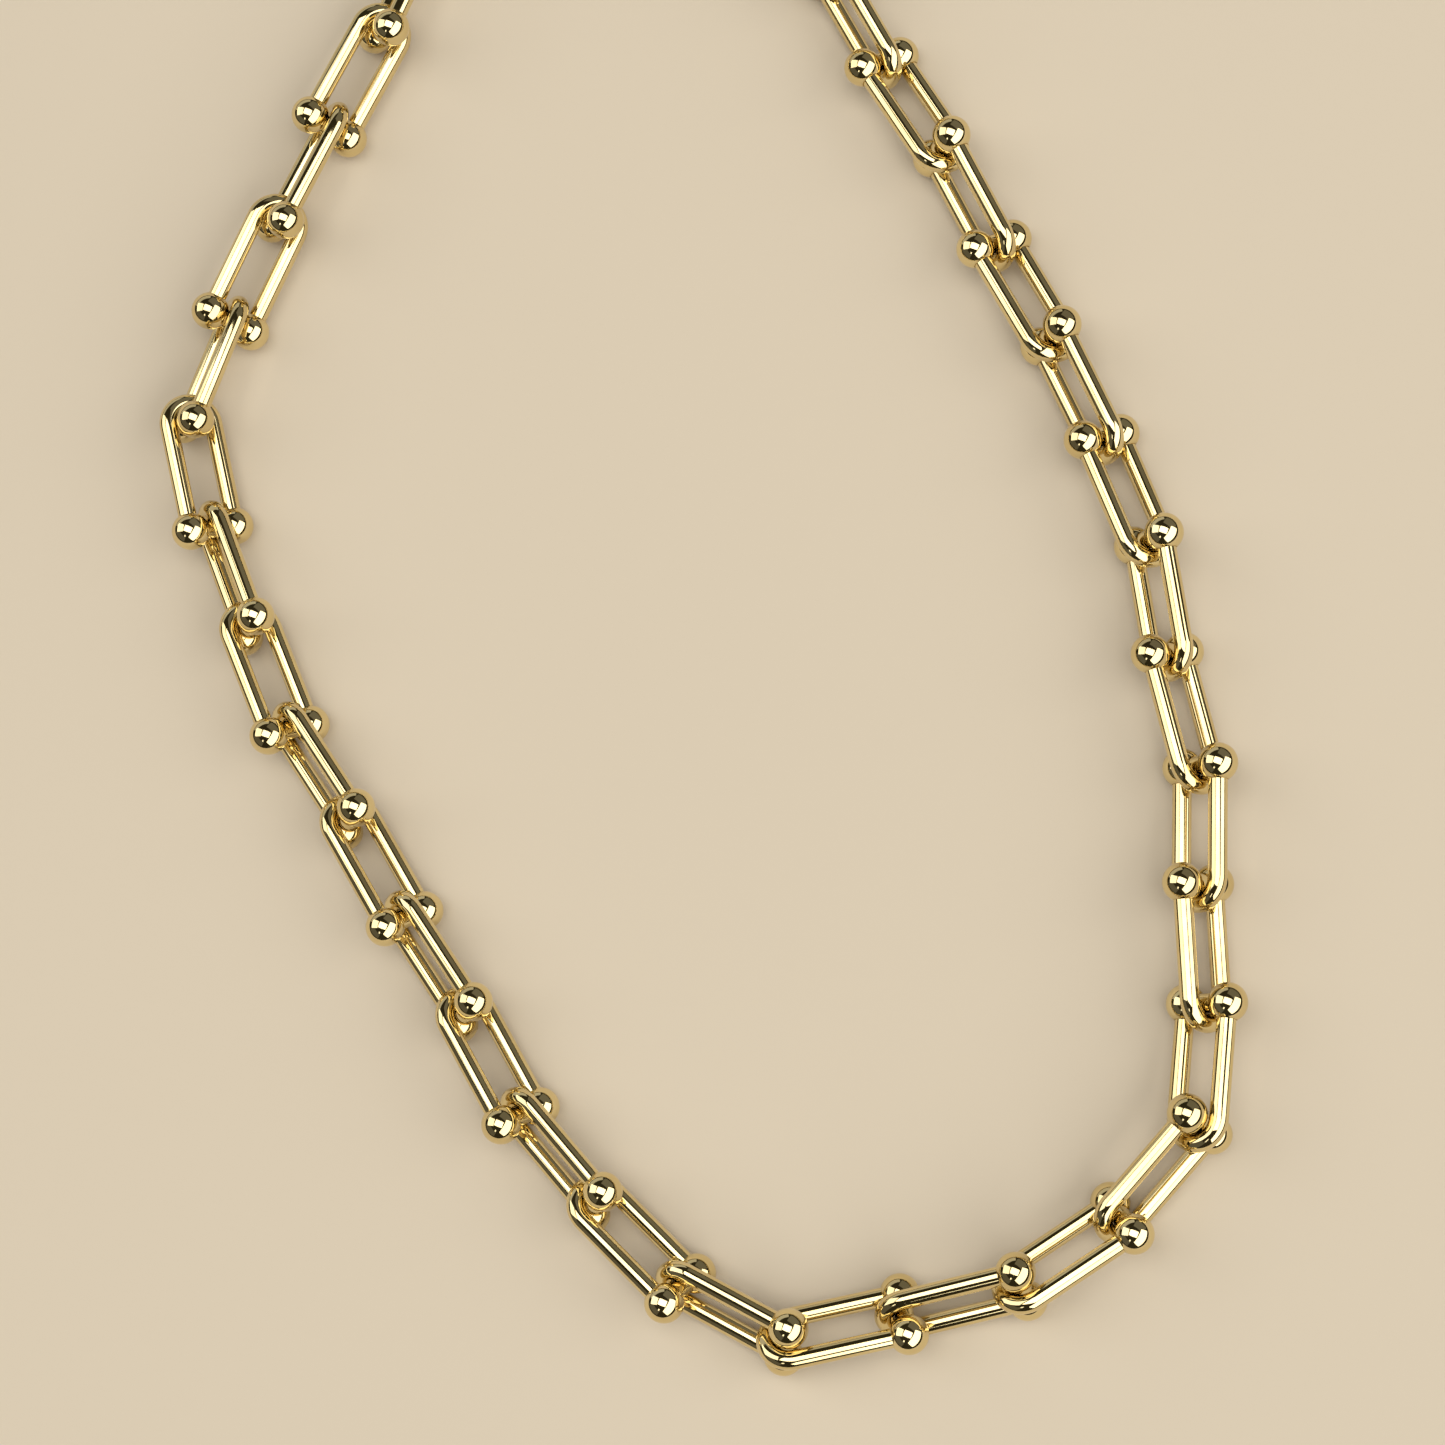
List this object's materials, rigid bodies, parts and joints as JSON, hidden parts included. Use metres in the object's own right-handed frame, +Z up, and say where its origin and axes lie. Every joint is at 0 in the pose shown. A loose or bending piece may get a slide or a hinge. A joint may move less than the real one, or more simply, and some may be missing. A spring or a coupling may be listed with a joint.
{
  "type": "chain necklace",
  "caption": "Chain necklace of round-wire U links with ball ends, each link hinged on the crossbar before it, with a lobster clasp and an end ring, shown undone.",
  "frame": {"origin": "bottom centre of the bounding box of the necklace as it lies, on the surface that it rests on", "axes": "+Z up from the surface, +Y from the front of the loop to the clasp, +X to the wearer's left when the clasp is behind the neck"},
  "size_m": [0.1032, 0.2, 0.0085],
  "materials": {
    "polished_gold": "polished gold plate",
    "spring_steel": "bare spring steel"
  },
  "bodies": {
    "link_01": {"link_01": "polished_gold"},
    "link_02": {"link_02": "polished_gold"},
    "link_03": {"link_03": "polished_gold"},
    "link_04": {"link_04": "polished_gold"},
    "link_05": {"link_05": "polished_gold"},
    "link_06": {"link_06": "polished_gold"},
    "link_07": {"link_07": "polished_gold"},
    "link_08": {"link_08": "polished_gold"},
    "link_09": {"link_09": "polished_gold"},
    "link_10": {"link_10": "polished_gold"},
    "link_11": {"link_11": "polished_gold"},
    "link_12": {"link_12": "polished_gold"},
    "link_13": {"link_13": "polished_gold"},
    "link_14": {"link_14": "polished_gold"},
    "link_15": {"link_15": "polished_gold"},
    "link_16": {"link_16": "polished_gold"},
    "link_17": {"link_17": "polished_gold"},
    "link_18": {"link_18": "polished_gold"},
    "link_19": {"link_19": "polished_gold"},
    "link_20": {"link_20": "polished_gold"},
    "link_21": {"link_21": "polished_gold"},
    "link_22": {"link_22": "polished_gold"},
    "link_23": {"link_23": "polished_gold"},
    "link_24": {"link_24": "polished_gold"},
    "link_25": {"link_25": "polished_gold"},
    "link_26": {"link_26": "polished_gold"},
    "link_27": {"link_27": "polished_gold"},
    "link_28": {"link_28": "polished_gold"},
    "link_29": {"link_29": "polished_gold"},
    "link_30": {"link_30": "polished_gold"},
    "link_31": {"link_31": "polished_gold"},
    "link_32": {"link_32": "polished_gold"},
    "link_33": {"link_33": "polished_gold"},
    "link_34": {"link_34": "polished_gold"},
    "link_35": {"link_35": "polished_gold"},
    "link_36": {"link_36": "polished_gold"},
    "link_37": {"link_37": "polished_gold"},
    "end_ring": {"end_ring": "polished_gold"},
    "clasp_ring": {"clasp_ring": "polished_gold"},
    "clasp": {"clasp_body": "polished_gold", "clasp_pin": "polished_gold", "clasp_spring": "spring_steel"},
    "clasp_lever": {"clasp_lever": "polished_gold"}
  },
  "joints": [
    {"name": "crossbar_01_hinge", "type": "hinge", "parent": "link_02", "child": "link_01", "pos_m": [0.00248, 0.08242, 0.00422], "axis": [-0.3352, 0.0172, -0.942], "range_deg": [-90, 80]},
    {"name": "crossbar_02_hinge", "type": "hinge", "parent": "link_03", "child": "link_02", "pos_m": [-0.00325, 0.07234, 0.00311], "axis": [0.8274, -0.433, -0.3577], "range_deg": [-80, 95]},
    {"name": "crossbar_03_hinge", "type": "hinge", "parent": "link_04", "child": "link_03", "pos_m": [-0.00992, 0.06287, 0.00411], "axis": [0.4027, -0.1868, 0.896], "range_deg": [-75, 85]},
    {"name": "crossbar_04_hinge", "type": "hinge", "parent": "link_05", "child": "link_04", "pos_m": [-0.01699, 0.05369, 0.00319], "axis": [0.7024, -0.4922, -0.5142], "range_deg": [-80, 95]},
    {"name": "crossbar_05_hinge", "type": "hinge", "parent": "link_06", "child": "link_05", "pos_m": [-0.02292, 0.04375, 0.00389], "axis": [-0.5301, 0.2589, -0.8074], "range_deg": [-90, 85]},
    {"name": "crossbar_06_hinge", "type": "hinge", "parent": "link_07", "child": "link_06", "pos_m": [-0.03002, 0.03457, 0.00336], "axis": [-0.6558, 0.474, 0.5876], "range_deg": [-95, 80]},
    {"name": "crossbar_07_hinge", "type": "hinge", "parent": "link_08", "child": "link_07", "pos_m": [-0.0365, 0.02496, 0.00392], "axis": [-0.4974, 0.2884, -0.8182], "range_deg": [-85, 90]},
    {"name": "crossbar_08_hinge", "type": "hinge", "parent": "link_09", "child": "link_08", "pos_m": [-0.04305, 0.0154, 0.00333], "axis": [0.6922, -0.4387, -0.5731], "range_deg": [-80, 95]},
    {"name": "crossbar_09_hinge", "type": "hinge", "parent": "link_10", "child": "link_09", "pos_m": [-0.04845, 0.00515, 0.00396], "axis": [0.5036, -0.213, 0.8373], "range_deg": [-80, 55]},
    {"name": "crossbar_10_hinge", "type": "hinge", "parent": "link_11", "child": "link_10", "pos_m": [-0.04747, -0.00642, 0.00326], "axis": [0.8334, 0.1053, -0.5426], "range_deg": [-75, 100]},
    {"name": "crossbar_11_hinge", "type": "hinge", "parent": "link_12", "child": "link_11", "pos_m": [-0.04457, -0.01764, 0.00396], "axis": [-0.5149, -0.186, -0.8368], "range_deg": [-85, 80]},
    {"name": "crossbar_12_hinge", "type": "hinge", "parent": "link_13", "child": "link_12", "pos_m": [-0.04186, -0.02891, 0.00333], "axis": [-0.789, -0.2215, 0.5731], "range_deg": [-100, 75]},
    {"name": "crossbar_13_hinge", "type": "hinge", "parent": "link_14", "child": "link_13", "pos_m": [-0.03662, -0.03925, 0.00389], "axis": [-0.5071, -0.301, -0.8076], "range_deg": [-90, 85]},
    {"name": "crossbar_14_hinge", "type": "hinge", "parent": "link_15", "child": "link_14", "pos_m": [-0.03239, -0.05006, 0.00339], "axis": [0.7342, 0.3146, -0.6016], "range_deg": [-80, 95]},
    {"name": "crossbar_15_hinge", "type": "hinge", "parent": "link_16", "child": "link_15", "pos_m": [-0.02729, -0.06047, 0.00387], "axis": [0.5262, 0.294, 0.7979], "range_deg": [-85, 90]},
    {"name": "crossbar_16_hinge", "type": "hinge", "parent": "link_17", "child": "link_16", "pos_m": [-0.02325, -0.07135, 0.00339], "axis": [0.7399, 0.301, -0.6016], "range_deg": [-75, 100]},
    {"name": "crossbar_17_hinge", "type": "hinge", "parent": "link_18", "child": "link_17", "pos_m": [-0.01678, -0.08098, 0.00392], "axis": [-0.4557, -0.3514, -0.8178], "range_deg": [-80, 95]},
    {"name": "crossbar_18_hinge", "type": "hinge", "parent": "link_19", "child": "link_18", "pos_m": [-0.00985, -0.09026, 0.00329], "axis": [-0.6461, -0.5202, 0.5586], "range_deg": [-90, 70]},
    {"name": "crossbar_19_hinge", "type": "hinge", "parent": "link_19", "child": "link_20", "pos_m": [-0.00029, -0.09686, 0.00394], "axis": [-0.2799, -0.4879, -0.8268], "range_deg": [-50, 105]},
    {"name": "crossbar_20_hinge", "type": "hinge", "parent": "link_20", "child": "link_21", "pos_m": [0.01131, -0.09583, 0.00322], "axis": [-0.1097, 0.8424, -0.5275], "range_deg": [-10, 95]},
    {"name": "crossbar_21_hinge", "type": "hinge", "parent": "link_21", "child": "link_22", "pos_m": [0.02286, -0.09493, 0.00394], "axis": [-0.0951, 0.553, 0.8277], "range_deg": [-110, 4]},
    {"name": "crossbar_22_hinge", "type": "hinge", "parent": "link_22", "child": "link_23", "pos_m": [0.03332, -0.08994, 0.00333], "axis": [-0.3804, 0.7264, -0.5723], "range_deg": [-70, 100]},
    {"name": "crossbar_23_hinge", "type": "hinge", "parent": "link_23", "child": "link_24", "pos_m": [0.04207, -0.08231, 0.00389], "axis": [0.4165, -0.4178, -0.8074], "range_deg": [-50, 105]},
    {"name": "crossbar_24_hinge", "type": "hinge", "parent": "link_24", "child": "link_25", "pos_m": [0.04466, -0.07096, 0.00326], "axis": [0.8253, -0.1566, 0.5425], "range_deg": [-100, 75]},
    {"name": "crossbar_25_hinge", "type": "hinge", "parent": "link_25", "child": "link_26", "pos_m": [0.0458, -0.05943, 0.00381], "axis": [0.6301, -0.0256, -0.7761], "range_deg": [-90, 85]},
    {"name": "crossbar_26_hinge", "type": "hinge", "parent": "link_26", "child": "link_27", "pos_m": [0.04793, -0.04802, 0.00359], "axis": [-0.7212, 0.1217, -0.682], "range_deg": [-75, 100]},
    {"name": "crossbar_27_hinge", "type": "hinge", "parent": "link_27", "child": "link_28", "pos_m": [0.04668, -0.03645, 0.00368], "axis": [-0.6903, -0.0799, 0.7191], "range_deg": [-85, 90]},
    {"name": "crossbar_28_hinge", "type": "hinge", "parent": "link_28", "child": "link_29", "pos_m": [0.04678, -0.02485, 0.00376], "axis": [-0.6561, 0.0118, -0.7546], "range_deg": [-70, 95]},
    {"name": "crossbar_29_hinge", "type": "hinge", "parent": "link_29", "child": "link_30", "pos_m": [0.04396, -0.01357, 0.00339], "axis": [0.7795, 0.1737, -0.6018], "range_deg": [-90, 85]},
    {"name": "crossbar_30_hinge", "type": "hinge", "parent": "link_30", "child": "link_31", "pos_m": [0.04065, -0.00246, 0.00394], "axis": [0.5466, 0.1225, 0.8284], "range_deg": [-90, 85]},
    {"name": "crossbar_31_hinge", "type": "hinge", "parent": "link_31", "child": "link_32", "pos_m": [0.03658, 0.0084, 0.00326], "axis": [0.7962, 0.2645, -0.5441], "range_deg": [-95, 80]},
    {"name": "crossbar_32_hinge", "type": "hinge", "parent": "link_32", "child": "link_33", "pos_m": [0.03296, 0.01939, 0.00399], "axis": [-0.5198, -0.1152, -0.8465], "range_deg": [-85, 90]},
    {"name": "crossbar_33_hinge", "type": "hinge", "parent": "link_33", "child": "link_34", "pos_m": [0.0283, 0.03001, 0.00319], "axis": [-0.7989, -0.3117, 0.5144], "range_deg": [-80, 95]},
    {"name": "crossbar_34_hinge", "type": "hinge", "parent": "link_34", "child": "link_35", "pos_m": [0.02431, 0.04086, 0.00411], "axis": [-0.4358, -0.0844, -0.8961], "range_deg": [-105, 70]},
    {"name": "crossbar_35_hinge", "type": "hinge", "parent": "link_35", "child": "link_36", "pos_m": [0.0237, 0.05242, 0.00324], "axis": [0.9274, 0.021, -0.3736], "range_deg": [-100, 75]},
    {"name": "crossbar_36_hinge", "type": "hinge", "parent": "link_36", "child": "link_37", "pos_m": [0.02437, 0.06396, 0.00424], "axis": [0.2875, -0.0998, 0.9526], "range_deg": [-65, 110]},
    {"name": "end_ring_swing", "type": "hinge", "parent": "link_01", "child": "end_ring", "pos_m": [0.00643, 0.09533, 0.00305], "axis": [0.3352, -0.0172, 0.942], "range_deg": [-90, 90]},
    {"name": "clasp_ring_swing", "type": "hinge", "parent": "link_37", "child": "clasp_ring", "pos_m": [0.02898, 0.07446, 0.00245], "axis": [-0.8819, 0.424, 0.2059], "range_deg": [-80, 80]},
    {"name": "clasp_swing", "type": "hinge", "parent": "clasp_ring", "child": "clasp", "pos_m": [0.03037, 0.07715, 0.00286], "axis": [0.2124, -0.0325, 0.9766], "range_deg": [-35, 35]},
    {"name": "lever_open", "type": "hinge", "parent": "clasp", "child": "clasp_lever", "pos_m": [0.03163, 0.08033, 0.00269], "axis": [-0.2124, 0.0325, -0.9766], "range_deg": [0, 20], "stiffness_Nm_per_rad": 0.01, "springref_deg": -17.19}
  ]
}
